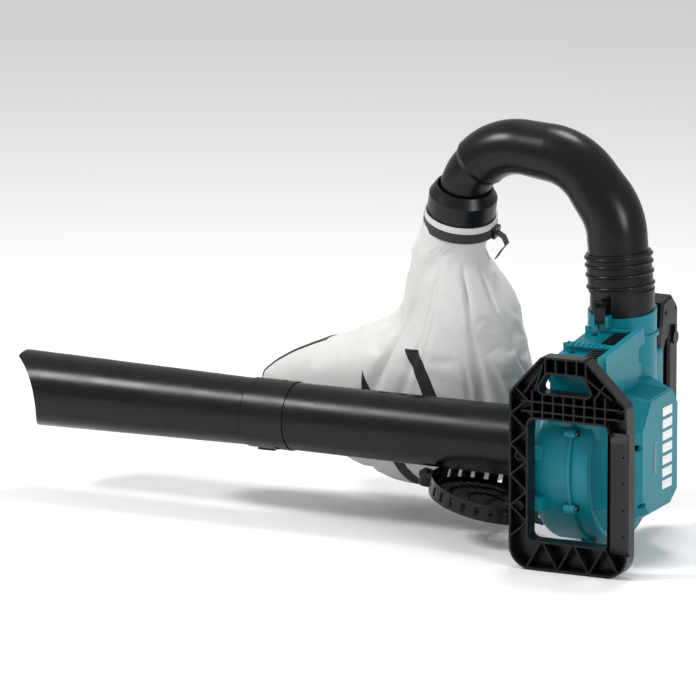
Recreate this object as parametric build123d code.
"""Hand-held vacuum and leaf blower with a dust bag, as an assembly of separate solids (mm)."""
from build123d import *
import math
import os

os.makedirs("parts", exist_ok=True)

# ---------------------------------------------------------------- frame
# modelled about the fan axis (X along the axis, Z towards the outlet, Y towards the handle)
# and written out about the middle of the main grip
GRIP_X, GRIP_Y, GRIP_Z = 5.0, 189.0, 40.0

# ---------------------------------------------------------------- clearances
GAP_MOVING = 0.35       # between faces that move past each other
GAP_SHAFT = 0.03        # radial, running shafts and pins
GAP_SLIP = 0.30         # radial, push fits of pipes

# ---------------------------------------------------------------- fan housing
SCROLL_R = 111.5        # first quarter of the scroll, outside
SCROLL_STEP = 11.0      # growth of the radius at each quarter
SCROLL_CY, SCROLL_CZ = -4.5, -7.5
SCROLL_TOP = 122.0      # top of the square part of the outlet
HOUSE_X_IN, HOUSE_X_OUT = -64.0, 30.0
HOUSE_WALL = 3.0
HOUSE_ROUND = 15.0      # round of the inlet-side edge
SEAM_PROUD, SEAM_WIDE = 4.0, 4.0
SLEEVE_R, ELBOW_WALL = 46.0, 3.0       # foot of the elbow, which the outlet holds
DUCT_X, DUCT_Y = -12.0, 88.0
DUCT_R = SLEEVE_R + 3.0
DUCT_TOP = 150.0
DUCT_BORE = SLEEVE_R - ELBOW_WALL

# ---------------------------------------------------------------- outlet collar and latch
COLLAR_FLANGE_R = DUCT_R + 3.0
COLLAR_FLANGE = 5.0
COLLAR_LOW, COLLAR_SLOPE = 180.0, 7.0
LATCH_X, LATCH_PIVOT_Y, LATCH_PIVOT_Z = -20.0, 32.0, 182.0
LATCH_WIDE, LATCH_THICK = 16.0, 6.0
LATCH_TOP = 206.0
LATCH_PIN_R = 1.5

# ---------------------------------------------------------------- suction pipe
PIPE_WALL = 2.6
PIPE_R_ROOT, PIPE_R_MID = 50.5, 48.5
PIPE_X_ROOT, PIPE_X_JOINT = -68.0, -482.0
JOINT_LONG = 66.0
JOINT_R = 50.0
SPIGOT_R = 46.4
NOZZLE_R_JOINT, NOZZLE_R_MOUTH = 48.2, 54.0
MOUTH_X = -919.0
MOUTH_CUT_R, MOUTH_CUT_X, MOUTH_CUT_Z = 66.0, MOUTH_X - 24.0, -12.0
STUD_R, STUD_X, STUD_SLOT_DEG = 3.5, -500.0, 30.0

# ---------------------------------------------------------------- inlet
INLET_R = 47.0
COVER_R, COVER_DEEP, COVER_WALL = 85.0, 25.0, 2.6
RING_R, RING_X = COVER_R + 3.0, -74.0
SOCKET_R, SOCKET_X = 55.0, -88.0
COVER_HINGE_X, COVER_HINGE_Z = -82.0, -(COVER_R + 12.0)
COVER_OPEN = 77.0
COVER_RIM_X = -78.0
KNOB_Z = COVER_R + 12.5
COVER_SLOTS = 26
COVER_PIN_R = 2.5
KNOB_R = 11.0

# ---------------------------------------------------------------- battery tray
TRAY_X, TRAY_Y, TRAY_Z = 2.5, -38.0, 159.0
TRAY_TILT = 7.4
TRAY_LONG, TRAY_WIDE, TRAY_DEEP = 95.0, 148.0, 14.0
TRAY_WALL, TRAY_FLOOR = 4.0, 4.0
TRAY_LIP = 5.0
BAY_PITCH = 74.0
STOP_WALL, STOP_HIGH = 10.0, 9.0
CONTROL_Z = 112.0
PAD_R = 5.0

# ---------------------------------------------------------------- base frame
BASE_FAR, BASE_NEAR = -121.0, -145.0
BASE_X0, BASE_X1 = -79.0, 103.0
BASE_Z0, BASE_Z1 = -145.0, 162.0
BASE_SKIN, BASE_RIM, BASE_RIB = 4.0, 3.0, 2.4
BASE_WIN = (-50.0, 72.0, -103.0, 71.0)
BASE_CORNER = 32.0
GRIP_BAR_Z0, GRIP_BAR_Z1 = -112.0, 62.0

# ---------------------------------------------------------------- handle
HANDLE_X0, HANDLE_X1 = -13.0, 23.0
HANDLE_OUT, HANDLE_IN = 203.0, 173.0
HANDLE_WALL = 3.0
COVER_PAD = 3.0
TRIGGER_WIDE = 16.0
TRIGGER_PIVOT_Y, TRIGGER_PIVOT_Z = 181.0, 101.0
BUTTON_Z, BUTTON_R = 152.0, 6.0
LEVER_Y, LEVER_Z, LEVER_R = 187.0, 128.0, 9.0

# ---------------------------------------------------------------- motor and fan
SHAFT_R = 4.0
FAN_R, FAN_X0, FAN_X1 = 92.0, -48.0, -8.0
FAN_BLADES = 10
MOTOR_X0, MOTOR_X1 = 44.0, 68.0
STATOR_R, STATOR_BORE = 33.0, 18.5
ROTOR_R = 18.0
BEARING_R = 11.0
COVER_END_X = 87.0
COVER_SKIN = 3.0
LEAD_X, LEAD_Y = 34.2, (-46.0, -38.0, -30.0)

# ---------------------------------------------------------------- elbow and bag
ELBOW_LIP, ELBOW_LIP_TOP = 1.0, 6.0
ELBOW_R_LOW, ELBOW_R_TOP, ELBOW_R_END = 43.0, 39.5, 36.0
ELBOW_PATH = [(-12, 88, 153), (-14, 88, 214), (-23, 88, 318), (-84, 88.5, 396), (-206, 90, 408),
              (-261, 97, 351), (-275.5, 110.5, 287.5)]
ELBOW_BEND = 92.0
ELBOW_CUFF_LONG, ELBOW_CUFF = 54.0, 3.4    # thicker foot of the bend above its sleeve
ELBOW_BEADS, BEAD_R = (7.0, 24.0, 38.0, 49.0), 2.6
BAG_AXIS = ((-264.0, 98.5, 338.0), (-277.0, 112.0, 281.0))
BAG_SLEEVE_R, BAG_SLEEVE_LONG = 49.0, 55.0
BAG_SKIN = 1.6
STRAP_THICK = 2.4
CUFF_THICK = 1.6
BAG_SIDES = 20
# height, centre X, half length in X, centre Y, half width in Y
BAG_LEVELS = [
    (262, -287, 51, 116, 51), (240, -298, 53, 119, 52), (207, -290, 69, 123, 56), (165, -284, 87, 128, 62),
    (134, -291, 103, 131, 66), (112, -310, 129, 133, 69), (86, -335, 163, 134, 72), (58, -362, 196, 136, 75),
    (22, -380, 223, 137, 77), (-15, -370, 214, 137, 75), (-58, -345, 178, 136, 68), (-92, -328, 124, 134, 54),
    (-112, -322, 66, 132, 32),
]


# ================================================================ helpers
def block(x0, x1, y0, y1, z0, z1):
    """Box given by its limits."""
    return Pos((x0 + x1) / 2, (y0 + y1) / 2, (z0 + z1) / 2) * Box(x1 - x0, y1 - y0, z1 - z0)


def rod_x(r, x0, x1, y=0.0, z=0.0):
    """Cylinder along X."""
    return Pos((x0 + x1) / 2, y, z) * Rot(0, 90, 0) * Cylinder(r, x1 - x0)


def rod_y(r, y0, y1, x=0.0, z=0.0):
    """Cylinder along Y."""
    return Pos(x, (y0 + y1) / 2, z) * Rot(90, 0, 0) * Cylinder(r, y1 - y0)


def rod_z(r, z0, z1, x=0.0, y=0.0):
    """Cylinder along Z."""
    return Pos(x, y, (z0 + z1) / 2) * Cylinder(r, z1 - z0)


def prism_x(points, x0, x1):
    """Polygon of (Y, Z) points, thickened along X."""
    face = Plane.YZ.offset(x0) * make_face(Polyline(*points, close=True))
    return extrude(face, x1 - x0)


def prism_y(points, y0, y1):
    """Polygon of (X, Z) points, thickened along Y."""
    face = Plane.XZ.offset(-y0) * make_face(Polyline(*points, close=True))
    return extrude(face, -(y1 - y0))


def turned_x(points):
    """Solid of revolution about X from (x, radius) points."""
    return revolve(make_face(Polyline(*[(x, 0, r) for x, r in points], close=True)), Axis.X)


def ring_x(r_out, r_in, x0, x1):
    """Ring about the X axis."""
    return rod_x(r_out, x0, x1) - rod_x(r_in, x0 - 1, x1 + 1)


def screw(r_head, h_head, r_body, length):
    """Screw pointing down -Z with its head above z = 0, hexagon socket in the head."""
    body = rod_z(r_head, 0, h_head) + rod_z(r_body, -length, 0)
    socket = extrude(Pos(0, 0, h_head - 1.4) * RegularPolygon(r_head * 0.55, 6), 1.5)
    return body - socket


def coil(r_mid, r_wire, height, turns):
    """Coil spring standing on Z."""
    path = Helix(height / turns, height, r_mid)
    start = Plane(origin=path @ 0, z_dir=path % 0)
    return sweep(start * Circle(r_wire), path)


def towards(point, direction):
    """Location with Z along a direction."""
    return Plane(origin=point, z_dir=direction).location


def joined(shapes):
    """All shapes as one."""
    total = shapes[0]
    for piece in shapes[1:]:
        total = total + piece
    return total


def biggest(shape):
    """Largest solid of a shape, leaving loose chips out."""
    return max(shape.solids(), key=lambda piece: piece.volume)


def save(shape, name):
    """Write one solid, moved to the frame of the grip."""
    export_step(Pos(-GRIP_X, -GRIP_Y, -GRIP_Z) * shape, f"parts/{name}.step")


# ================================================================ fan housing
def scroll_face(inset, top):
    """Four-centre scroll outline in the YZ plane."""
    r1, k = SCROLL_R - inset, SCROLL_STEP
    c1, c2 = (SCROLL_CY, SCROLL_CZ), (SCROLL_CY + k, SCROLL_CZ)
    c3 = (c2[0], c2[1] + k)
    r2, r3, h = r1 + k, r1 + 2 * k, math.sqrt(0.5)
    a, b = (c1[0], c1[1] + r1), (c1[0] - r1, c1[1])
    c, d = (c2[0], c2[1] - r2), (c3[0] + r3, c3[1])
    tongue = DUCT_Y - DUCT_R + inset
    edges = [
        ThreePointArc(a, (c1[0] - r1 * h, c1[1] + r1 * h), b),
        ThreePointArc(b, (c2[0] - r2 * h, c2[1] - r2 * h), c),
        ThreePointArc(c, (c3[0] + r3 * h, c3[1] - r3 * h), d),
        Line(d, (d[0], top)), Line((d[0], top), (tongue, top)),
        Line((tongue, top), (tongue, a[1])), Line((tongue, a[1]), a),
    ]
    return Plane.YZ * make_face(edges)


def scroll_solid(inset, x0, x1, top):
    """Scroll outline thickened along X."""
    return Pos(x0, 0, 0) * extrude(scroll_face(inset, top), x1 - x0)


def at_x(shape, x):
    """Edges lying in the plane at x."""
    return shape.edges().filter_by_position(Axis.X, x - 0.01, x + 0.01)


def housing_blank():
    """Outside of the fan housing, both halves together, without bosses."""
    body = scroll_solid(0, HOUSE_X_IN, HOUSE_X_OUT, SCROLL_TOP)
    body = fillet(at_x(body, HOUSE_X_IN), HOUSE_ROUND)
    body = fillet(at_x(body, HOUSE_X_OUT), 5)
    return body + rod_z(DUCT_R, 60, DUCT_TOP, DUCT_X, DUCT_Y)


def housing_room():
    """Air space inside the fan housing."""
    w = HOUSE_WALL
    room = scroll_solid(w, HOUSE_X_IN + w, HOUSE_X_OUT - w, SCROLL_TOP - w)
    room = fillet(at_x(room, HOUSE_X_IN + w), HOUSE_ROUND - w)
    return room + rod_z(DUCT_BORE, 60, DUCT_TOP + 1, DUCT_X, DUCT_Y)


# quarter of the scroll and angle of each seam boss
RING_SCREWS = [25, 155, 205, 335]
SEAM_PLACES = [(1, 152), (2, 205), (2, 245), (3, 278), (3, 303)]
LUG_HEIGHTS = [15.0, -57.0]


def seam_spots():
    """Centres (Y, Z) of the seam bosses, just outside the scroll."""
    spots = []
    for quarter, deg in SEAM_PLACES:
        r = SCROLL_R + (quarter - 1) * SCROLL_STEP + 4.5
        cy = SCROLL_CY + (SCROLL_STEP if quarter > 1 else 0)
        cz = SCROLL_CZ + (SCROLL_STEP if quarter > 2 else 0)
        y, z = polar(r, deg)
        spots.append((cy + y, cz + z))
    return spots


def seam_bosses(x0, x1, r):
    """Screw bosses that stand outside the scroll along the seam."""
    return joined([rod_x(r, x0, x1, y, z) for y, z in seam_spots()])


def lugs():
    """Wedges that carry the base frame."""
    parts = []
    for z in LUG_HEIGHTS:
        wedge = prism_x([(BASE_FAR, z - 9), (BASE_FAR, z + 9), (-94, z + 14), (-94, z - 14)], -74, -40)
        parts.append(wedge)
    return joined(parts)


def housing_full():
    """Housing with its flange, bosses and lugs, solid."""
    blank = housing_blank()
    flange = scroll_solid(-SEAM_PROUD, -SEAM_WIDE / 2, SEAM_WIDE / 2, SCROLL_TOP)
    return blank + flange + seam_bosses(-9, 7, 6.5) + lugs()


def volute(side):
    """One half of the housing; side -1 is the inlet half, +1 the motor half."""
    full = housing_full() - housing_room()
    for y, z in seam_spots():
        full = full - rod_x(2.3, -30, 30, y, z)
    full = full - joined([rod_y(2.3, BASE_FAR - 1, -98, -66, z) for z in LUG_HEIGHTS])
    if side < 0:
        half = full & block(-200, 0, -300, 300, -300, 300)
        half = half - rod_x(INLET_R, -90, -40)
        for a in RING_SCREWS:
            half = half - rod_x(2.4, HOUSE_X_IN - 1, HOUSE_X_IN + 5, *polar(70, a))
        return half
    half = full & block(0, 200, -300, 300, -300, 300)
    half = half - rod_x(30, 10, 60)
    rim = ring_x(34, 30.4, 18, HOUSE_X_OUT - HOUSE_WALL)
    for y, z in COVER_SCREWS:
        half = half - rod_x(2.1, 20, 40, y, z)
    return half + rim - joined([rod_x(1.9, 20, 40, *polar(44, a)) for a in (45, 135, 225, 315)])


def polar(r, deg):
    """Point (Y, Z) at a radius and angle."""
    return r * math.cos(math.radians(deg)), r * math.sin(math.radians(deg))


def housing_screws():
    """Screws through the seam bosses."""
    return [Pos(7, y, z) * Rot(0, 90, 0) * screw(4.2, 3.2, 2.0, 15) for y, z in seam_spots()]


# ================================================================ motor cover
COVER_ROOT = [(-98, -64), (-62, -100), (58, -110), (104, -70), (112, 60), (82, 96), (-40, 92), (-92, 46)]
COVER_END = [(-58, -52), (-36, -74), (36, -74), (60, -58), (60, 66), (42, 88), (-30, 84), (-58, 46)]


def shrunk(points, d, toward=(4.0, -2.0)):
    """Polygon pulled towards its middle by d."""
    out = []
    for y, z in points:
        v = Vector(toward[0] - y, toward[1] - z, 0)
        v = v.normalized() * (d * 1.25)
        out.append((y + v.X, z + v.Y))
    return out


def faceted(root, end, x0, x1):
    """Ruled body between two polygons."""
    a = Plane.YZ.offset(x0) * make_face(Polyline(*root, close=True))
    b = Plane.YZ.offset(x1) * make_face(Polyline(*end, close=True))
    return loft([a, b], ruled=True)


COVER_SCREWS = [(-62, 24), (-52, -60), (66, 70), (70, -66)]


def motor_cover():
    """Faceted cover over the motor with cooling slots and recessed screw holes."""
    skin = faceted(COVER_ROOT, COVER_END, HOUSE_X_OUT, COVER_END_X)
    skin = skin - faceted(shrunk(COVER_ROOT, COVER_SKIN), shrunk(COVER_END, COVER_SKIN),
                          HOUSE_X_OUT - 0.01, COVER_END_X - COVER_SKIN)
    duct = rod_z(DUCT_R + 0.2, 40, 160, DUCT_X, DUCT_Y)
    for i in range(9):
        x = 40 + i * 4.6
        skin = skin - block(x, x + 2.2, -24, 40, 70, 120)
    for i in range(6):
        z = -30 + i * 9.0
        skin = skin - block(50, 74, 50, 130, z, z + 4)
    for y, z in COVER_SCREWS:
        post = rod_x(6.5, HOUSE_X_OUT, 66, y, z) & faceted(COVER_ROOT, COVER_END, HOUSE_X_OUT, COVER_END_X)
        skin = skin + post - rod_x(2.0, 20, 90, y, z) - rod_x(4.6, 52, 100, y, z)
    skin = skin - joined([rod_z(2.0, 70, 100, LEAD_X, y) for y in LEAD_Y])
    return biggest(skin - duct)


def motor_screws():
    """Screws down the recesses of the motor cover."""
    return [Pos(52, y, z) * Rot(0, 90, 0) * screw(4.1, 3.4, 1.9, 24) for y, z in COVER_SCREWS]


# ================================================================ outlet collar
def slope_cut():
    """Half space above the sloping rim of the collar."""
    return Pos(DUCT_X, DUCT_Y - DUCT_R, COLLAR_LOW) * Rot(COLLAR_SLOPE, 0, 0) * block(-90, 90, -40, 190, 0, 90)


def outlet_collar():
    """Round collar that takes the elbow."""
    body = rod_z(DUCT_R, DUCT_TOP, 198, DUCT_X, DUCT_Y)
    body = body + rod_z(COLLAR_FLANGE_R, DUCT_TOP, DUCT_TOP + COLLAR_FLANGE, DUCT_X, DUCT_Y)
    body = body - slope_cut()
    ears = block(LATCH_X - 13, LATCH_X + 13, LATCH_PIVOT_Y - 3.5, 46, 170, LATCH_PIVOT_Z + 4)
    slot = LATCH_WIDE / 2 + GAP_MOVING
    ears = ears - block(LATCH_X - slot, LATCH_X + slot, 20, 41, 160, 200)
    boss = rod_z(6, 168, 186, 24, 44)
    body = body + ears + boss
    body = body - rod_x(LATCH_PIN_R, LATCH_X - 20, LATCH_X + 20, LATCH_PIVOT_Y, LATCH_PIVOT_Z)
    body = body - rod_z(2, 172, 190, 24, 44)
    body = body - rod_z(SLEEVE_R + GAP_SLIP, ELBOW_PATH[0][2] - 2, 210, DUCT_X, DUCT_Y)
    return biggest(body - rod_z(DUCT_BORE, 140, 160, DUCT_X, DUCT_Y))


def outlet_latch():
    """Hook that holds the elbow down."""
    x0, x1 = LATCH_X - LATCH_WIDE / 2, LATCH_X + LATCH_WIDE / 2
    y, z = LATCH_PIVOT_Y, LATCH_PIVOT_Z
    lever = block(x0, x1, y - 3, y + 3, z - 4, LATCH_TOP)
    nose = prism_x([(y + 2.9, LATCH_TOP), (y + 2.9, LATCH_TOP - 8), (y + 9, LATCH_TOP - 6),
                    (y + 6, LATCH_TOP)], x0, x1)
    thumb = prism_x([(y - 3, LATCH_TOP), (y - 8, LATCH_TOP + 2), (y - 8, LATCH_TOP - 1), (y - 3, LATCH_TOP - 9)],
                    x0 + 2, x1 - 2)
    heel = rod_x(3, x0, x1, y, z - 4)
    return lever + nose + thumb + heel - rod_x(LATCH_PIN_R + GAP_SHAFT, x0 - 1, x1 + 1, y, z)


def latch_pin():
    """Pin of the latch."""
    return rod_x(LATCH_PIN_R, LATCH_X - 13, LATCH_X + 13, LATCH_PIVOT_Y, LATCH_PIVOT_Z)


# ================================================================ suction pipe
def pipe_rear():
    """Rear pipe with the spigot and studs for the nozzle."""
    w = PIPE_WALL
    tube = turned_x([
        (PIPE_X_ROOT, PIPE_R_ROOT - w), (PIPE_X_ROOT, PIPE_R_ROOT), (PIPE_X_JOINT, PIPE_R_MID),
        (PIPE_X_JOINT, SPIGOT_R), (PIPE_X_JOINT - JOINT_LONG + 10, SPIGOT_R),
        (PIPE_X_JOINT - JOINT_LONG + 10, SPIGOT_R - w), (PIPE_X_JOINT + 20, SPIGOT_R - w)])
    for a in (0, 180):
        stud = Rot(a, 0, 0) * (rod_z(STUD_R, SPIGOT_R - 1.5, JOINT_R - 0.6, STUD_X, 0))
        tube = tube + stud
    for i in range(7):
        x = -350 + i * 26
        tube = tube + block(x, x + 16, -1.2, 1.2, PIPE_R_MID - 2, PIPE_R_MID + 1.4)
    return tube


def pipe_front():
    """Nozzle with its bayonet collar and the scooped mouth."""
    w, j = PIPE_WALL, PIPE_X_JOINT - JOINT_LONG
    bore = SPIGOT_R + GAP_MOVING
    x_j = PIPE_X_JOINT - GAP_MOVING
    tube = turned_x([
        (x_j, bore), (x_j, JOINT_R), (j, JOINT_R), (j - 2, NOZZLE_R_JOINT), (MOUTH_X, NOZZLE_R_MOUTH),
        (MOUTH_X, NOZZLE_R_MOUTH - w), (j + 8, NOZZLE_R_JOINT - w - 1), (j + 9.5, bore)])
    tube = tube - rod_y(MOUTH_CUT_R, -80, 80, MOUTH_CUT_X, MOUTH_CUT_Z)
    for a in (0, 180):
        slots = [Rot(a - t, 0, 0) * rod_z(STUD_R + GAP_MOVING, 40, 60, STUD_X, 0)
                 for t in range(0, int(STUD_SLOT_DEG) + 1, 5)]
        tube = tube - joined(slots)
    latch = Rot(180, 0, 0) * block(PIPE_X_JOINT - 58, PIPE_X_JOINT - 32, -7, 7, JOINT_R - 1, JOINT_R + 3)
    return tube + latch


def pipe_seal():
    """Seal ring in the root of the pipe socket."""
    return ring_x(PIPE_R_ROOT + GAP_SLIP, PIPE_R_ROOT - PIPE_WALL - 1, PIPE_X_ROOT, RING_SEAT_X)


RING_SEAT_X = HOUSE_X_IN - 2.0


# ================================================================ inlet ring and cover
def inlet_ring():
    """Ring on the housing that holds the pipe and carries the hinged cover."""
    ring = rod_x(RING_R, RING_X, HOUSE_X_IN) & (scroll_solid(-40, RING_X, HOUSE_X_IN, 300))
    ring = ring + rod_x(SOCKET_R, SOCKET_X, RING_X)
    for s in (-1, 1):
        y = s * 30
        ear = block(COVER_HINGE_X - 4, HOUSE_X_IN, y - 4, y + 4, COVER_HINGE_Z - 4, -70)
        ring = ring + ear + rod_y(4, y - 4, y + 4, COVER_HINGE_X, COVER_HINGE_Z)
    ring = ring - rod_y(COVER_PIN_R, -60, 60, COVER_HINGE_X, COVER_HINGE_Z)
    ring = ring - rod_x(PIPE_R_ROOT + GAP_SLIP, SOCKET_X - 1, RING_SEAT_X)
    ring = ring - rod_x(INLET_R, SOCKET_X, HOUSE_X_IN + 1)
    boss = rod_x(8, RING_X - 8, RING_X + 5, 0, KNOB_Z) + block(RING_X, RING_X + 5, -8, 8, 80, KNOB_Z)
    ring = ring + boss - rod_x(3.1, RING_X - 12, RING_X + 6, 0, KNOB_Z)
    for a in RING_SCREWS:
        y, z = polar(70, a)
        ring = ring - rod_x(2.2, RING_X - 1, HOUSE_X_IN + 1, y, z) - rod_x(4.4, RING_X - 1, RING_X + 4, y, z)
    return ring


def ring_screws():
    """Screws of the inlet ring."""
    return [Pos(RING_X + 4, *polar(70, a)) * Rot(0, -90, 0) * screw(4.2, 3.0, 2.1, 8)
            for a in RING_SCREWS]


def swung(shape, deg):
    """Swing a piece of the cover about its hinge, from shut."""
    pivot = Pos(COVER_HINGE_X, 0, COVER_HINGE_Z)
    return pivot * Rot(0, -deg, 0) * Pos(-COVER_HINGE_X, 0, -COVER_HINGE_Z) * shape


def cover_shut():
    """Slotted dish in its shut place over the inlet."""
    w, x0, x1 = COVER_WALL, COVER_RIM_X - COVER_DEEP, COVER_RIM_X
    dish = rod_x(COVER_R, x0, x1) - rod_x(COVER_R - w, x0 + w, x1 + 1)
    dish = fillet(at_x(dish, x0), 2)
    for i in range(COVER_SLOTS):
        a = 360 / COVER_SLOTS * i
        if abs(a - 270) > 18 and abs(a - 90) > 8:
            dish = dish - Rot(a, 0, 0) * block(x0 + 6, x1 - 6, COVER_R - 5, COVER_R + 5, -3.2, 3.2)
    for i in range(-7, 8):
        y = i * 9.6
        half = math.sqrt((COVER_R - 9) ** 2 - y * y)
        dish = dish - block(x0 - 1, x0 + w + 1, y - 3.2, y + 3.2, 3, half)
        dish = dish - block(x0 - 1, x0 + w + 1, y - 3.2, y + 3.2, -half, -3)
    for r in (30, 56):
        dish = dish + ring_x(r + 1.6, r - 1.6, x0, x0 + w + 2)
    arm = block(x0 + 6, x1, -25.5, 25.5, COVER_HINGE_Z - 3, -COVER_R + 6) - rod_x(COVER_R - w, x0 - 1, x1 + 1)
    arm = arm + rod_y(4.5, -25.5, 25.5, COVER_HINGE_X, COVER_HINGE_Z)
    arm = arm + block(x0 + 6, COVER_HINGE_X, -25.5, 25.5, COVER_HINGE_Z - 3, COVER_HINGE_Z + 4)
    arm = arm - rod_y(5.2, -12, 12, COVER_HINGE_X, COVER_HINGE_Z) - block(-96, -70, -12, 12, -104, -90)
    tab = block(x0 + 8, x1 - 9, -11, 11, COVER_R - 4, KNOB_Z + 9) - rod_x(COVER_R - w, x0 - 1, x1 + 1)
    tab = tab - rod_x(3.4, x0, x1 + 1, 0, KNOB_Z)
    dish = dish + arm + tab - rod_y(COVER_PIN_R + GAP_SHAFT, -60, 60, COVER_HINGE_X, COVER_HINGE_Z)
    return dish


def lock_screw_shut():
    """Captive thumb screw of the cover in its shut place."""
    x0 = COVER_RIM_X - COVER_DEEP
    knob = rod_x(KNOB_R, x0 - 5, x0 + 8 - GAP_MOVING, 0, KNOB_Z)
    for i in range(12):
        y, z = polar(KNOB_R + 0.6, 30 * i)
        knob = knob - rod_x(1.7, x0 - 6, x0 + 9, y, KNOB_Z + z)
    return knob + rod_x(3.4 - GAP_MOVING, x0 + 7, COVER_RIM_X - 7, 0, KNOB_Z)


def cover_hinge_pin():
    """Pin of the cover."""
    return rod_y(COVER_PIN_R, -34, 34, COVER_HINGE_X, COVER_HINGE_Z)


def cover_spring():
    """Coil around the hinge pin that shuts the cover."""
    wire = Pos(COVER_HINGE_X, -9, COVER_HINGE_Z) * Rot(-90, 0, 0) * coil(3.6, 0.5, 18, 8)
    return wire


# ================================================================ battery tray
def in_tray(shape):
    """Place a piece drawn in the frame of the tray (z = 0 at the top of its walls)."""
    return Pos(TRAY_X, TRAY_Y, TRAY_Z) * Rot(TRAY_TILT, 0, 0) * shape


def bay_centres():
    """Middle of each battery bay along the width of the tray."""
    return [-BAY_PITCH / 2, BAY_PITCH / 2]


def battery_tray():
    """Tray with two bays, sliding rails and a stop wall."""
    lx, ly, d = TRAY_LONG / 2, TRAY_WIDE / 2, TRAY_DEEP
    tray = block(-lx, lx, -ly, ly, -d, 0)
    tray = tray + block(lx - STOP_WALL, lx, -ly, ly, -d, STOP_HIGH)
    half = BAY_PITCH / 2 - TRAY_WALL / 2
    for c in bay_centres():
        tray = tray - block(-lx - 1, lx - STOP_WALL, c - half, c + half, -d + TRAY_FLOOR, 1)
    for c in bay_centres():
        for s in (-1, 1):
            y0, y1 = sorted((c + s * half, c + s * (half - TRAY_LIP)))
            tray = tray + block(-lx + 8, lx - STOP_WALL, y0, y1, -3, 0)
    for i in range(8):
        tray = tray + block(-lx + 6 + i * 8, -lx + 8 + i * 8, -4.5, 4.5, -3, 2.0)
    for y in pad_places():
        tray = tray - rod_x(PAD_R, lx - STOP_WALL - 2, lx - STOP_WALL + 2, y, 1.5)
    for x, y in TRAY_SCREWS:
        tray = tray - rod_z(2.1, -d - 1, 1, x, y) - rod_z(4.3, -d + 2, 2, x, y)
    near = rod_z(12, -d - 1, 30, lx + 3, -ly - 3) + rod_z(12, -d - 1, 30, lx + 3, ly + 3)
    tray = in_tray(tray - near) - rod_z(COLLAR_FLANGE_R + GAP_SLIP, 100, 220, DUCT_X, DUCT_Y)
    reach = LATCH_WIDE / 2 + 8
    return biggest(tray - block(LATCH_X - reach, LATCH_X + reach, LATCH_PIVOT_Y - 5, 60, 160, 220))


TRAY_SCREWS = [(-30, -10), (-30, 66), (26, -10), (26, 66)]


def tray_screws():
    """Screws through the floor of the tray."""
    return [in_tray(Pos(x, y, -TRAY_DEEP + 2) * screw(4.1, 2.4, 2.0, 9)) for x, y in TRAY_SCREWS]


def pad_places():
    """Places of the rubber pads along the stop wall."""
    return [-36.0, -10.0, 24.0]


def stop_pads():
    """Rubber pads on the stop wall."""
    x = TRAY_LONG / 2 - STOP_WALL
    return [in_tray(rod_x(PAD_R - 0.1, x - 1.5, x + 2, y, 1.5)) for y in pad_places()]


def terminal_block(c):
    """Terminal block of one bay."""
    z0 = -TRAY_DEEP + TRAY_FLOOR
    body = block(4, 32, c - 22, c + 22, z0, z0 + 9)
    for i in range(-2, 3):
        body = body - block(3, 24, c + i * 9 - 1.4, c + i * 9 + 1.4, z0 + 3, z0 + 10)
    return in_tray(body)


def terminal_blades():
    """Contact blades standing in the slots of both blocks."""
    z0 = -TRAY_DEEP + TRAY_FLOOR
    return [in_tray(block(8, 24, c + i * 9 - 0.5, c + i * 9 + 0.5, z0 + 3, z0 + 8))
            for c in bay_centres() for i in (-2, 0, 2)]


def tray_pedestal(housing):
    """Hollow foot between the housing and the tray."""
    room_top = in_tray(block(-80, 80, -110, 110, -TRAY_DEEP, 90))
    outer = block(-38, 40, -98, 30, 40, 170) - room_top - housing
    inner = block(-35, 37, -95, 27, 30, 170)
    inner = inner - in_tray(block(-80, 80, -110, 110, -TRAY_DEEP - 3, 90))
    shell = outer - inner
    for x, y in TRAY_SCREWS:
        post = in_tray(rod_z(5, -TRAY_DEEP - 12, -TRAY_DEEP, x, y) - rod_z(2.0, -TRAY_DEEP - 13, 0, x, y))
        shell = shell - in_tray(rod_z(4.9, -TRAY_DEEP - 12, -TRAY_DEEP + 1, x, y)) + post
    for y in (-78, -24):
        shell = shell + (block(-36, 38, y - 2, y + 2, 98, CONTROL_Z) - housing)
    return biggest(shell - motor_cover_solid())


def motor_cover_solid():
    """Outside of the motor cover, solid."""
    return faceted(COVER_ROOT, COVER_END, HOUSE_X_OUT, COVER_END_X)


def controller_case():
    """Potted motor controller inside the pedestal."""
    body = block(-20, 20, -84, -18, CONTROL_Z, CONTROL_Z + 20)
    for i in range(8):
        body = body - block(-16, 16, -81 + i * 8, -77 + i * 8, CONTROL_Z + 16, CONTROL_Z + 21)
    return body


# ================================================================ base frame
def base_outline(d):
    """Outline of the base frame pulled in by d, as an XZ face solid over its depth."""
    pts = [(-30, 162), (38, 162), (100, 102), (103, 60), (103, -145), (-79, -145), (-79, 108)]
    face = make_face(Polyline(*pts, close=True))
    low = [v for v in face.vertices() if v.Y < -140]
    face = fillet(low, BASE_CORNER)
    high = [v for v in face.vertices() if v.Y > 50]
    face = fillet(high, 12)
    return offset(face, -d, kind=Kind.INTERSECTION) if d else face


def frame_slab(face, y0, y1):
    """XZ face thickened from y0 to y1."""
    return extrude(Plane.XZ.offset(-y0) * face, -(y1 - y0))


def window_face(d):
    """Large window grown by d."""
    x0, x1, z0, z1 = BASE_WIN
    face = Pos((x0 + x1) / 2, (z0 + z1) / 2) * RectangleRounded(x1 - x0 + 2 * d, z1 - z0 + 2 * d, 10 + d)
    return face


def slot_face(d):
    """Grip slot grown by d."""
    pts = [(-38, 110), (49, 110), (33, 137), (-22, 137)]
    face = fillet(make_face(Polyline(*pts, close=True)).vertices(), 6)
    return offset(face, d, kind=Kind.ARC) if d else face


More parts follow.
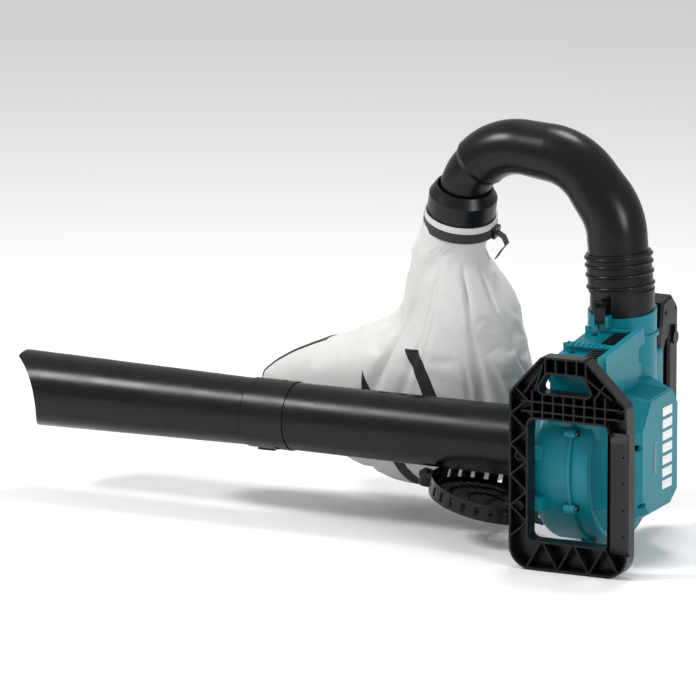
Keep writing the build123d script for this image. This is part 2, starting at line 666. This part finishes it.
def bar_ribs():
    """Zig-zag ribs of the left and bottom bars and the straight ribs of the top."""
    y0, y1 = BASE_NEAR, BASE_FAR - BASE_SKIN + 0.5
    ribs = []
    xs = (BASE_X0 + 2, BASE_WIN[0] - 1)
    z, step, side = -100.0, 22.0, 0
    while z < 100:
        ribs.append(strut((xs[side], z), (xs[1 - side], z + step), y0, y1))
        z, side = z + step, 1 - side
    zs = (BASE_Z0 + 2, BASE_WIN[2] + 1)
    x, side = -52.0, 0
    while x < 78:
        ribs.append(strut((x, zs[side]), (x + 24, zs[1 - side]), y0, y1))
        x, side = x + 24, 1 - side
    for z in (82.0, 96.0):
        ribs.append(strut((-60, z), (90, z), y0, y1))
    for x in range(-44, 80, 16):
        ribs.append(strut((x, 72), (x, 112), y0, y1))
    for x in (-24, -8, 8, 24, 38):
        ribs.append(strut((x, 134), (x, 160), y0, y1))
    for a, b in (((38, 136), (78, 110)), ((52, 108), (70, 134)), ((-40, 112), (-28, 150)), ((-56, 108), (-34, 138))):
        ribs.append(strut(a, b, y0, y1))
    return ribs


def strut(a, b, y0, y1):
    """Thin rib between two XZ points."""
    dx, dz = b[0] - a[0], b[1] - a[1]
    n = math.hypot(dx, dz)
    ox, oz = -dz / n * BASE_RIB / 2, dx / n * BASE_RIB / 2
    return prism_y([(a[0] + ox, a[1] + oz), (b[0] + ox, b[1] + oz),
                    (b[0] - ox, b[1] - oz), (a[0] - ox, a[1] - oz)], y0, y1)


BASE_BOLTS = [(-66, z) for z in LUG_HEIGHTS]


def base_frame():
    """Ribbed frame the tool stands on."""
    solid = frame_slab(base_outline(0), BASE_NEAR, BASE_FAR)
    holes = frame_slab(window_face(0), -160, -100) + frame_slab(slot_face(0), -160, -100)
    pocket = frame_slab(base_outline(BASE_RIM), BASE_NEAR - 1, BASE_FAR - BASE_SKIN)
    keep = frame_slab(window_face(BASE_RIM), -160, -100) + frame_slab(slot_face(BASE_RIM), -160, -100)
    pocket = pocket - keep
    frame = solid - pocket
    ribs = joined(bar_ribs()) & pocket
    bolts = joined([rod_y(7, BASE_NEAR + 6, BASE_FAR, x, z) for x, z in BASE_BOLTS])
    frame = frame + ribs + (bolts & solid) - holes
    for x, z in BASE_BOLTS:
        frame = frame - rod_y(2.3, -160, -100, x, z) - rod_y(4.6, -160, BASE_FAR - 8, x, z)
    bar = block(72.5, 104, -160, BASE_FAR - BASE_SKIN, GRIP_BAR_Z0, GRIP_BAR_Z1)
    frame = frame - bar
    for x0, x1 in ((-27, -13), (17, 31)):
        arm = block(x0, x1, BASE_FAR - 0.5, -100, 139, 149)
        frame = frame + (arm - in_tray(block(-80, 80, -TRAY_WIDE / 2, 110, -40, 90)))
    return biggest(frame)


def base_grip_bar():
    """Closed smooth bar on the motor side of the base."""
    z0, z1 = GRIP_BAR_Z0 + GAP_SLIP, GRIP_BAR_Z1 - GAP_SLIP
    y1 = BASE_FAR - BASE_SKIN
    prof = [(y1, z0), (y1, z1), (BASE_NEAR + 7, z1), (BASE_NEAR, z1 - 12), (BASE_NEAR, z0 + 12), (BASE_NEAR + 7, z0)]
    bar = prism_x(prof, 72.6, 103)
    edges = bar.edges().filter_by(Axis.Z).sort_by(Axis.Y)[:2]
    bar = chamfer(edges, 5)
    inner = block(76, 99.5, BASE_NEAR + 3.5, y1 + 1, z0 + 8, z1 - 8)
    bar = bar - inner
    for i in range(4):
        bar = bar - rod_y(1.6, -160, -100, 96.5, -84 + i * 38)
    return bar


def base_screws():
    """Screws of the base frame."""
    return [Pos(x, BASE_FAR - 8, z) * Rot(90, 0, 0) * screw(4.4, 3.2, 2.0, 20) for x, z in BASE_BOLTS]


# ================================================================ handle
HANDLE_OUTER = [(139, 94), (139, 125), (147, 152), (151, 184), (184, 190), (203, 172), (203, -42),
                (190, -74), (150, -94), (88, -94), (112, -58), (118, -40)]
HANDLE_INNER = [(100, 92), (148, 98), (162, 126), (173, 130), (173, -38), (150, -52), (100, -52)]


def handle_solid(housing):
    """Loop of the main handle."""
    loop = prism_x(HANDLE_OUTER, HANDLE_X0, HANDLE_X1) - prism_x(HANDLE_INNER, HANDLE_X0 - 1, HANDLE_X1 + 1)
    sides = at_x(loop, HANDLE_X0) + at_x(loop, HANDLE_X1)
    loop = chamfer(sides, 3.5)
    return loop - housing


def handle_room():
    """Space inside the handle."""
    w = HANDLE_WALL
    pts = [(177, 176), (182, 182), (199, 166), (199, -34), (177, -34)]
    room = prism_x(pts, HANDLE_X0 + w, HANDLE_X1 - w)
    mid, half = (HANDLE_X0 + HANDLE_X1) / 2, TRIGGER_WIDE / 2 + 0.5
    room = room + block(mid - half, mid + half, 165, 180, 56, 109)
    room = room + rod_y(BUTTON_R + GAP_MOVING, 190, 215, mid, BUTTON_Z)
    room = room + rod_x(4.0 + GAP_MOVING, HANDLE_X1 - 4, HANDLE_X1 + 1, LEVER_Y, LEVER_Z)
    return room


HANDLE_SCREWS = [(196, 182 - 12), (190, -56), (160, 168), (145, -80)]


def handle_shell(housing, side):
    """One side of the main handle."""
    mid = (HANDLE_X0 + HANDLE_X1) / 2
    body = handle_solid(housing) - handle_room()
    body = body - rod_x(2, mid - 12, mid + 12, TRIGGER_PIVOT_Y, TRIGGER_PIVOT_Z)
    posts = []
    for s in (-1, 1):
        x0, x1 = sorted((mid + s * (TRIGGER_WIDE / 2 + 0.5), mid + s * 16))
        posts.append(rod_x(5, x0, x1, TRIGGER_PIVOT_Y, TRIGGER_PIVOT_Z))
    posts = joined(posts) - rod_x(2, mid - 12, mid + 12, TRIGGER_PIVOT_Y, TRIGGER_PIVOT_Z)
    body = body + posts
    for y, z in HANDLE_SCREWS:
        if side > 0:
            body = body - rod_x(4.4, HANDLE_X1 - 4, HANDLE_X1 + 1, y, z)
        body = body - rod_x(2.0, mid - 9, HANDLE_X1 + 1, y, z)
    return biggest(body & (block(mid, 60, 60, 230, -130, 220) if side > 0 else block(-60, mid, 60, 230, -130, 220)))


def handle_screws():
    """Screws of the handle shells."""
    mid = (HANDLE_X0 + HANDLE_X1) / 2
    return [Pos(HANDLE_X1 - 4, y, z) * Rot(0, 90, 0) * screw(4.2, 3.0, 1.9, HANDLE_X1 - 4 - mid + 8)
            for y, z in HANDLE_SCREWS]


def grip_cover():
    """Soft strip over the back of the handle."""
    pad = block(HANDLE_X0 + 4, HANDLE_X1 - 4, HANDLE_OUT, HANDLE_OUT + COVER_PAD, -34, 136)
    edges = pad.edges().filter_by_position(Axis.Y, HANDLE_OUT + COVER_PAD - 0.01, HANDLE_OUT + COVER_PAD + 0.01)
    pad = fillet(edges, 1.8)
    for i in range(14):
        z = -24 + i * 11
        pad = pad - block(HANDLE_X0 + 8, HANDLE_X1 - 8, HANDLE_OUT + COVER_PAD - 1, 220, z, z + 3)
    return pad


def trigger():
    """Variable speed trigger."""
    mid, half = (HANDLE_X0 + HANDLE_X1) / 2, TRIGGER_WIDE / 2
    pts = [(TRIGGER_PIVOT_Y + 3, 106), (176, 106), (168, 100), (160, 84), (159, 68), (164, 60),
           (180, 60), (TRIGGER_PIVOT_Y + 3, 96)]
    body = prism_x(pts, mid - half, mid + half)
    body = chamfer(body.edges().filter_by(Axis.X).sort_by(Axis.Y)[:2], 1.2)
    return body - rod_x(2 + GAP_SHAFT, mid - 20, mid + 20, TRIGGER_PIVOT_Y, TRIGGER_PIVOT_Z)


def trigger_pin():
    """Pin of the trigger."""
    mid = (HANDLE_X0 + HANDLE_X1) / 2
    return rod_x(2, mid - 12, mid + 12, TRIGGER_PIVOT_Y, TRIGGER_PIVOT_Z)


def switch_unit():
    """Switch behind the trigger."""
    mid = (HANDLE_X0 + HANDLE_X1) / 2
    body = block(mid - 11, mid + 11, 186, 199, 24, 56)
    return body + block(mid - 15, mid + 15, 188, 199, 30, 50)


def cruise_lever():
    """Speed lock lever on the side of the handle."""
    x = HANDLE_X1 + GAP_MOVING
    body = rod_x(LEVER_R, x, x + 4, LEVER_Y, LEVER_Z) + block(x, x + 4, LEVER_Y - 3.5, LEVER_Y + 3.5, LEVER_Z, LEVER_Z + 18)
    return body + rod_x(4, HANDLE_X1 - 8, x + 1, LEVER_Y, LEVER_Z)


def power_button():
    """Main power button on the back of the handle."""
    mid = (HANDLE_X0 + HANDLE_X1) / 2
    return rod_y(BUTTON_R, 196, HANDLE_OUT + 2.5, mid, BUTTON_Z) + rod_y(BUTTON_R + 2, 195, 198, mid, BUTTON_Z)


# ================================================================ motor and fan
def impeller():
    """Fan wheel with curved blades."""
    wheel = rod_x(FAN_R, FAN_X1 - 3, FAN_X1) + rod_x(15, FAN_X0 + 6, FAN_X1)
    blades = []
    for i in range(FAN_BLADES):
        arc = [polar(14 + t * (FAN_R - 14) / 6, i * 360 / FAN_BLADES + 6.0 * t) for t in range(7)]
        back = [polar(14 + t * (FAN_R - 14) / 6, i * 360 / FAN_BLADES + 6.0 * t + 140 / (14 + t * 13)) for t in range(7)]
        blades.append(prism_x(arc + back[::-1], FAN_X0 + 2, FAN_X1 - 2))
    wheel = wheel + joined(blades)
    cone = turned_x([(FAN_X0 - 1, 0), (FAN_X0 - 1, 60), (FAN_X0 + 2, 60), (FAN_X0 + 24, 20), (FAN_X0 + 24, 0)])
    hub = rod_x(15, FAN_X0 + 6, FAN_X1)
    wheel = (wheel - cone) + hub
    return wheel - rod_x(SHAFT_R, -80, 40)


def impeller_nut():
    """Nut that holds the wheel."""
    nut = Pos(FAN_X0, 0, 0) * Rot(0, 90, 0) * extrude(RegularPolygon(8, 6), 6)
    return nut - rod_x(SHAFT_R, -80, 40)


def motor_shaft():
    """Shaft from the wheel through both bearings."""
    return rod_x(SHAFT_R, FAN_X0 - 1.5, 80)


def rotor_core():
    """Magnet rotor."""
    return rod_x(ROTOR_R, MOTOR_X0, MOTOR_X1) - rod_x(SHAFT_R, 0, 100)


def stator_core():
    """Laminated stator with its teeth."""
    core = ring_x(STATOR_R, 27, MOTOR_X0, MOTOR_X1)
    teeth = [Rot(60 * i, 0, 0) * block(MOTOR_X0, MOTOR_X1, STATOR_BORE, 28, -3.5, 3.5) for i in range(6)]
    shoes = [Rot(60 * i, 0, 0) * block(MOTOR_X0, MOTOR_X1, STATOR_BORE, 21, -7, 7) for i in range(6)]
    return core + joined(teeth) + joined(shoes) - rod_x(STATOR_BORE, 0, 100)


def stator_coils():
    """Windings around the teeth."""
    out = []
    for i in range(6):
        turn = block(MOTOR_X0 - 3, MOTOR_X1 + 1.5, 21.2, 25.6, -7, 7) - block(MOTOR_X0, MOTOR_X1, 20, 30, -3.5, 3.5)
        out.append(Rot(60 * i, 0, 0) * turn)
    return out


def bearing(x0, x1):
    """Bearing with its grease shield groove."""
    ring = ring_x(BEARING_R, SHAFT_R + GAP_SHAFT, x0, x1)
    return ring - ring_x(9, 6, x0 - 0.01, x0 + 0.6) - ring_x(9, 6, x1 - 0.6, x1 + 0.01)


def motor_bracket():
    """Front end plate of the motor, screwed to the housing."""
    x = HOUSE_X_OUT
    plate = ring_x(52, 6, x, x + 4) + ring_x(15, BEARING_R, x, x + 9.5)
    plate = plate + ring_x(STATOR_R + 3, STATOR_R, x + 4, MOTOR_X0 + 6) + ring_x(STATOR_R + 1, 28.5, x + 4, MOTOR_X0)
    plate = plate - rod_x(BEARING_R, x + 1.5, x + 20)
    for a in (45, 135, 225, 315):
        plate = plate - rod_x(2.2, x - 1, x + 8, *polar(44, a))
    for i in range(12):
        if i % 3:
            plate = plate - rod_x(4, x - 1, x + 5, *polar(23, 30 * i))
    return plate


def bracket_screws():
    """Screws of the motor bracket."""
    return [Pos(HOUSE_X_OUT + 4, *polar(44, a)) * Rot(0, 90, 0) * screw(3.6, 2.6, 1.8, 6.5) for a in (45, 135, 225, 315)]


def end_bell():
    """Rear end plate of the motor with the rear bearing seat."""
    bell = ring_x(STATOR_R + 3, STATOR_R, MOTOR_X1 - 6, MOTOR_X1 + 4) + ring_x(STATOR_R + 3, 5, MOTOR_X1 + 4, MOTOR_X1 + 7)
    bell = bell + ring_x(STATOR_R, 28.5, MOTOR_X1, MOTOR_X1 + 4)
    bell = bell + ring_x(14, BEARING_R, MOTOR_X1 + 3, MOTOR_X1 + 11)
    bell = bell - rod_x(BEARING_R, MOTOR_X1, MOTOR_X1 + 9.5)
    for i in range(6):
        bell = bell - rod_x(4.5, MOTOR_X1 + 3.5, MOTOR_X1 + 9, *polar(22, 60 * i + 30))
    return bell


def power_leads_set():
    """All leads in one piece."""
    return Compound(children=power_leads())


def power_leads():
    """Three insulated leads from the controller to the motor."""
    leads = []
    for i in range(3):
        y = LEAD_Y[i]
        path = FilletPolyline((20, y, CONTROL_Z + 6), (LEAD_X, y, CONTROL_Z + 6), (LEAD_X, y, 74), (46, y, 62),
                              (46, y * 0.4, 40), radius=3.5)
        leads.append(sweep(Plane(origin=path @ 0, z_dir=path % 0) * Circle(1.6), path))
    return leads


# ================================================================ elbow
def elbow_edges():
    """Centre line of the elbow above its sleeve, as lines and arcs in order."""
    path = FilletPolyline(*ELBOW_PATH[1:], radius=ELBOW_BEND)
    return sorted(path.edges(), key=lambda e: abs((e @ 0.5).X))


def limb(edge, r0, r1):
    """Round bar along one edge; a line may taper from r0 to r1."""
    start, end = edge @ 0, edge @ 1
    if abs(start.X) > abs(end.X):
        start, end = end, start
    if edge.geom_type == GeomType.LINE:
        d = (end - start).normalized()
        place = towards((start + end) / 2, d)
        return place * (Cylinder(r0, edge.length) if r0 == r1 else Cone(r0, r1, edge.length))
    return sweep(Plane(origin=edge @ 0, z_dir=edge % 0) * Circle(r0), edge)


def elbow_solid(shift):
    """Round bar along the whole elbow, radius changed by shift."""
    low, top, end = ELBOW_R_LOW + shift, ELBOW_R_TOP + shift, ELBOW_R_END + shift
    mid = (low + top) / 2
    radii = [(low, low), (low, low), (low, mid), (mid, mid), (mid, top), (top, top), (top, end), (end, end), (end, end)]
    return joined([limb(e, *r) for e, r in zip(elbow_edges(), radii)])


def on_riser(shape, along):
    """Put a shape on the lower straight run of the elbow."""
    a, b = Vector(*ELBOW_PATH[1]), Vector(*ELBOW_PATH[2])
    d = (b - a).normalized()
    return towards(a + d * along, d) * shape


def elbow_pipe():
    """Bent pipe from the outlet to the bag."""
    sleeve = rod_z(SLEEVE_R, ELBOW_PATH[0][2], ELBOW_PATH[1][2] + 3, DUCT_X, DUCT_Y)
    cuff_r = ELBOW_R_LOW + ELBOW_CUFF
    beads = [on_riser(Torus(cuff_r, BEAD_R), z) for z in ELBOW_BEADS]
    cuff = on_riser(Cylinder(cuff_r, ELBOW_CUFF_LONG), ELBOW_CUFF_LONG / 2)
    outer = elbow_solid(0) + sleeve + cuff + joined(beads)
    bore = rod_z(SLEEVE_R - ELBOW_WALL, 140, ELBOW_PATH[1][2], DUCT_X, DUCT_Y)
    foot_x, foot_y, foot_z = ELBOW_PATH[1]
    bore = bore + rod_z(ELBOW_R_LOW - ELBOW_WALL - ELBOW_LIP, 140, foot_z + ELBOW_LIP_TOP, foot_x, foot_y)
    pipe = outer - elbow_solid(-ELBOW_WALL) - bore
    notch = block(LATCH_X - 11, LATCH_X + 11, 30, 43.5, LATCH_TOP - 9, LATCH_TOP + 2)
    return pipe - notch


def outlet_seal():
    """Soft ring under the foot of the elbow."""
    z = ELBOW_PATH[0][2]
    ring = rod_z(SLEEVE_R, z - 2, z, DUCT_X, DUCT_Y)
    return ring - rod_z(DUCT_BORE, z - 3, z + 1, DUCT_X, DUCT_Y)


# ================================================================ bag
def bag_dir():
    """Direction of the bag sleeve, downwards."""
    a, b = Vector(*BAG_AXIS[0]), Vector(*BAG_AXIS[1])
    return (b - a).normalized()


def on_bag(r, start, end):
    """Cylinder on the axis of the sleeve between two distances from its top."""
    mid = Vector(*BAG_AXIS[0]) + bag_dir() * ((start + end) / 2)
    return towards(mid, bag_dir()) * Cylinder(r, end - start)


def bag_sleeve():
    """Plastic sleeve that joins the elbow and the bag."""
    top, d = Vector(*BAG_AXIS[0]), bag_dir()
    shoulder = towards(top + d * 7, d) * Cone(ELBOW_R_END + 5, BAG_SLEEVE_R, 14)
    sleeve = shoulder + on_bag(BAG_SLEEVE_R, 14, BAG_SLEEVE_LONG)
    return sleeve - on_bag(BAG_SLEEVE_R - 3, 16, 80) - on_bag(ELBOW_R_END + 2.4, -6, 20) - elbow_solid(0.02)


def row_points(plane, a, b):
    """Closed row of points on an ellipse in a plane."""
    n = BAG_SIDES
    turn = [2 * math.pi * (i + 0.5) / n for i in range(n)]
    return [plane.from_local_coords((a * math.cos(t), b * math.sin(t), 0)) for t in turn]


def bag_solid(shift, floor):
    """Ruled body through rows down the height of the bag."""
    d, top = bag_dir(), Vector(*BAG_AXIS[0])
    r = (BAG_SLEEVE_R + BAG_SKIN) / math.cos(math.pi / BAG_SIDES) + shift
    rows = [row_points(Plane(origin=top + d * 40, x_dir=(1, 0, 0), z_dir=d), r, r)]
    for z, cx, a, cy, b in BAG_LEVELS:
        lift = floor if z == BAG_LEVELS[-1][0] else 0
        plane = Plane(origin=(cx, cy, z + lift), x_dir=(1, 0, 0), z_dir=(0, 0, -1))
        rows.append(row_points(plane, a + shift, b + shift))
    return loft([make_face(Polyline(*row, close=True)) for row in rows], ruled=True)


def dust_bag():
    """Closed cloth bag, open only at the neck."""
    skin = bag_solid(0, 0) - bag_solid(-BAG_SKIN, BAG_SKIN)
    return skin - on_bag(BAG_SLEEVE_R, 30, BAG_SLEEVE_LONG + 3) - on_bag(BAG_SLEEVE_R + 0.8, 34, 41)


def bag_band(start, end, thick):
    """Band around the neck."""
    r = BAG_SLEEVE_R + BAG_SKIN
    return on_bag(r + thick, start, end) - on_bag(r - 1, start - 1, end + 1) - bag_solid(0, 0)


def bag_end_strap():
    """Webbing sewn on the far end of the bag."""
    skin = bag_solid(1.2, 0) - bag_solid(0, 0)
    return biggest(skin & block(-700, -552, 98, 172, -25, 80))


def neck_buckle():
    """Cam buckle of the neck strap."""
    r = BAG_SLEEVE_R + BAG_SKIN + STRAP_THICK
    mid = Vector(*BAG_AXIS[0]) + bag_dir() * 57
    body = Plane(origin=mid, x_dir=(1, 0, 0), z_dir=bag_dir()).location * block(r - 1, r + 6, -9, 9, -8, 8)
    slot = Plane(origin=mid, x_dir=(1, 0, 0), z_dir=bag_dir()).location * block(r + 1.5, r + 4, -12, 12, -6, 6)
    return body - on_bag(r, 40, 75) - slot


def strap_tail():
    """Loose end of the neck strap hanging from the buckle."""
    r = BAG_SLEEVE_R + BAG_SKIN + STRAP_THICK
    mid = Vector(*BAG_AXIS[0]) + bag_dir() * 57
    pts = [(r + 6, 0), (r + 16, 4), (r + 22, 14), (r + 15, 26), (r + 9, 40)]
    place = Plane(origin=mid, x_dir=(1, 0, 0), z_dir=bag_dir()).location
    rows = []
    for (x0, z0), (x1, z1) in zip(pts, pts[1:]):
        n = math.hypot(x1 - x0, z1 - z0)
        ox, oz = -(z1 - z0) / n * 0.8, (x1 - x0) / n * 0.8
        face = make_face(Polyline((x0 + ox, 0, z0 + oz), (x1 + ox, 0, z1 + oz), (x1 - ox, 0, z1 - oz),
                                  (x0 - ox, 0, z0 - oz), close=True))
        rows.append(extrude(face, 6, both=True) + Pos(x1, 0, z1) * Rot(90, 0, 0) * Cylinder(0.8, 12))
    return place * (joined(rows) - block(r, r + 6, -20, 20, -20, 20))


def build():
    """Write every node."""
    housing = housing_full()
    save(volute(-1), "volute_inlet_half")
    save(volute(1), "volute_motor_half")
    save(Compound(children=housing_screws()), "housing_screws")
    save(motor_cover(), "motor_cover")
    save(Compound(children=motor_screws()), "motor_cover_screws")
    save(outlet_collar(), "outlet_collar")
    save(outlet_latch(), "outlet_latch")
    save(latch_pin(), "latch_pin")
    save(outlet_seal(), "outlet_seal")
    save(pipe_rear(), "suction_pipe_rear")
    save(pipe_front(), "suction_pipe_front")
    save(pipe_seal(), "pipe_seal")
    save(inlet_ring(), "inlet_ring")
    save(Compound(children=ring_screws()), "inlet_ring_screws")
    save(swung(cover_shut(), COVER_OPEN), "inlet_cover")
    save(swung(lock_screw_shut(), COVER_OPEN), "cover_lock_screw")
    save(cover_hinge_pin(), "cover_hinge_pin")
    save(cover_spring(), "cover_spring")
    save(battery_tray(), "battery_tray")
    save(Compound(children=tray_screws()), "tray_screws")
    save(Compound(children=stop_pads()), "tray_stop_pads")
    save(terminal_block(bay_centres()[0]), "terminal_block_near")
    save(terminal_block(bay_centres()[1]), "terminal_block_far")
    save(Compound(children=terminal_blades()), "terminal_blades")
    save(tray_pedestal(housing), "tray_pedestal")
    save(controller_case(), "controller_case")
    save(base_frame(), "base_frame")
    save(base_grip_bar(), "base_grip_bar")
    save(Compound(children=base_screws()), "base_screws")
    save(handle_shell(housing, -1), "handle_shell_inlet_side")
    save(handle_shell(housing, 1), "handle_shell_motor_side")
    save(Compound(children=handle_screws()), "handle_screws")
    save(grip_cover(), "handle_grip_cover")
    save(trigger(), "trigger")
    save(trigger_pin(), "trigger_pin")
    save(switch_unit(), "switch_unit")
    save(cruise_lever(), "cruise_lever")
    save(power_button(), "power_button")
    save(impeller(), "impeller")
    save(impeller_nut(), "impeller_nut")
    save(motor_shaft(), "motor_shaft")
    save(rotor_core(), "rotor_core")
    save(stator_core(), "stator_core")
    save(Compound(children=stator_coils()), "stator_coils")
    save(bearing(31.5, 38.5), "bearing_front")
    save(bearing(70.5, 77.5), "bearing_rear")
    save(motor_bracket(), "motor_bracket")
    save(Compound(children=bracket_screws()), "motor_bracket_screws")
    save(end_bell(), "motor_end_bell")
    save(elbow_pipe(), "elbow_pipe")
    save(bag_sleeve(), "bag_sleeve")
    save(dust_bag(), "dust_bag")
    save(bag_band(42, 51, CUFF_THICK), "bag_neck_cuff")
    save(bag_band(51.3, 66, STRAP_THICK), "bag_neck_strap")
    save(bag_end_strap(), "bag_end_strap")
    save(neck_buckle(), "bag_neck_buckle")
    save(strap_tail(), "bag_strap_tail")
    save(power_leads_set(), "power_leads")


build()
